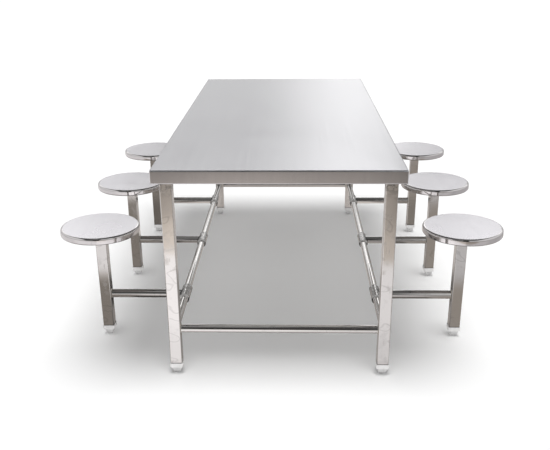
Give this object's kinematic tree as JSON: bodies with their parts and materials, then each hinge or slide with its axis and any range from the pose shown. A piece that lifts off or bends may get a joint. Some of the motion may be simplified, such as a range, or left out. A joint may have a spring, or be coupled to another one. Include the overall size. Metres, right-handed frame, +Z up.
{
  "type": "table with attached swivel seats",
  "caption": "Long stainless table on square legs, with round swivel stools on arms whose sleeves fold up about the low side rails.",
  "frame": {"origin": "on the floor under the middle of the table top", "axes": "+X across the table to the right, +Y along the table away from its near end, +Z up"},
  "size_m": [1.628, 1.8, 0.75],
  "materials": {
    "satin_top": "satin",
    "satin_seat": "satin",
    "polished_tube": "polished",
    "frame_steel": "matte",
    "seat_underside": "satin",
    "bolt_steel": "polished",
    "board": "matte",
    "white_foot": "satin",
    "white_nylon": "matte",
    "black_nylon": "matte"
  },
  "bodies": {
    "table": {"tabletop_sheet": "satin_top", "tabletop_board": "board", "underframe": "frame_steel", "crossbar_front": "polished_tube", "crossbar_rear": "polished_tube", "leg_left_front": "polished_tube", "leg_left_rear": "polished_tube", "leg_right_front": "polished_tube", "leg_right_rear": "polished_tube", "leg_feet": "white_foot", "side_rail_left": "polished_tube", "side_rail_right": "polished_tube"},
    "stool_left_front": {"swing_arm_left_front": "polished_tube", "sleeve_bushes_left_front": "black_nylon", "post_left_front": "polished_tube", "post_foot_left_front": "white_foot", "pivot_bolt_left_front": "bolt_steel", "thrust_washer_left_front": "white_nylon"},
    "seat_left_front": {"seat_pan_left_front": "satin_seat", "seat_base_left_front": "seat_underside"},
    "stool_left_middle": {"swing_arm_left_middle": "polished_tube", "sleeve_bushes_left_middle": "black_nylon", "post_left_middle": "polished_tube", "post_foot_left_middle": "white_foot", "pivot_bolt_left_middle": "bolt_steel", "thrust_washer_left_middle": "white_nylon"},
    "seat_left_middle": {"seat_pan_left_middle": "satin_seat", "seat_base_left_middle": "seat_underside"},
    "stool_left_rear": {"swing_arm_left_rear": "polished_tube", "sleeve_bushes_left_rear": "black_nylon", "post_left_rear": "polished_tube", "post_foot_left_rear": "white_foot", "pivot_bolt_left_rear": "bolt_steel", "thrust_washer_left_rear": "white_nylon"},
    "seat_left_rear": {"seat_pan_left_rear": "satin_seat", "seat_base_left_rear": "seat_underside"},
    "stool_right_front": {"swing_arm_right_front": "polished_tube", "sleeve_bushes_right_front": "black_nylon", "post_right_front": "polished_tube", "post_foot_right_front": "white_foot", "pivot_bolt_right_front": "bolt_steel", "thrust_washer_right_front": "white_nylon"},
    "seat_right_front": {"seat_pan_right_front": "satin_seat", "seat_base_right_front": "seat_underside"},
    "stool_right_middle": {"swing_arm_right_middle": "polished_tube", "sleeve_bushes_right_middle": "black_nylon", "post_right_middle": "polished_tube", "post_foot_right_middle": "white_foot", "pivot_bolt_right_middle": "bolt_steel", "thrust_washer_right_middle": "white_nylon"},
    "seat_right_middle": {"seat_pan_right_middle": "satin_seat", "seat_base_right_middle": "seat_underside"},
    "stool_right_rear": {"swing_arm_right_rear": "polished_tube", "sleeve_bushes_right_rear": "black_nylon", "post_right_rear": "polished_tube", "post_foot_right_rear": "white_foot", "pivot_bolt_right_rear": "bolt_steel", "thrust_washer_right_rear": "white_nylon"},
    "seat_right_rear": {"seat_pan_right_rear": "satin_seat", "seat_base_right_rear": "seat_underside"}
  },
  "joints": [
    {"name": "stool_fold_left_front", "type": "hinge", "parent": "table", "child": "stool_left_front", "pos_m": [-0.363, -0.575, 0.17], "axis": [0, 1, 0], "range_deg": [0, 90]},
    {"name": "seat_swivel_left_front", "type": "hinge", "parent": "stool_left_front", "child": "seat_left_front", "pos_m": [-0.669, -0.575, 0.42], "axis": [0, 0, 1], "continuous": true},
    {"name": "stool_fold_left_middle", "type": "hinge", "parent": "table", "child": "stool_left_middle", "pos_m": [-0.363, 0, 0.17], "axis": [0, 1, 0], "range_deg": [0, 90]},
    {"name": "seat_swivel_left_middle", "type": "hinge", "parent": "stool_left_middle", "child": "seat_left_middle", "pos_m": [-0.669, 0, 0.42], "axis": [0, 0, 1], "continuous": true},
    {"name": "stool_fold_left_rear", "type": "hinge", "parent": "table", "child": "stool_left_rear", "pos_m": [-0.363, 0.575, 0.17], "axis": [0, 1, 0], "range_deg": [0, 90]},
    {"name": "seat_swivel_left_rear", "type": "hinge", "parent": "stool_left_rear", "child": "seat_left_rear", "pos_m": [-0.669, 0.575, 0.42], "axis": [0, 0, 1], "continuous": true},
    {"name": "stool_fold_right_front", "type": "hinge", "parent": "table", "child": "stool_right_front", "pos_m": [0.363, -0.575, 0.17], "axis": [0, -1, 0], "range_deg": [0, 90]},
    {"name": "seat_swivel_right_front", "type": "hinge", "parent": "stool_right_front", "child": "seat_right_front", "pos_m": [0.669, -0.575, 0.42], "axis": [0, 0, 1], "continuous": true},
    {"name": "stool_fold_right_middle", "type": "hinge", "parent": "table", "child": "stool_right_middle", "pos_m": [0.363, 0, 0.17], "axis": [0, -1, 0], "range_deg": [0, 90]},
    {"name": "seat_swivel_right_middle", "type": "hinge", "parent": "stool_right_middle", "child": "seat_right_middle", "pos_m": [0.669, 0, 0.42], "axis": [0, 0, 1], "continuous": true},
    {"name": "stool_fold_right_rear", "type": "hinge", "parent": "table", "child": "stool_right_rear", "pos_m": [0.363, 0.575, 0.17], "axis": [0, -1, 0], "range_deg": [0, 90]},
    {"name": "seat_swivel_right_rear", "type": "hinge", "parent": "stool_right_rear", "child": "seat_right_rear", "pos_m": [0.669, 0.575, 0.42], "axis": [0, 0, 1], "continuous": true}
  ]
}
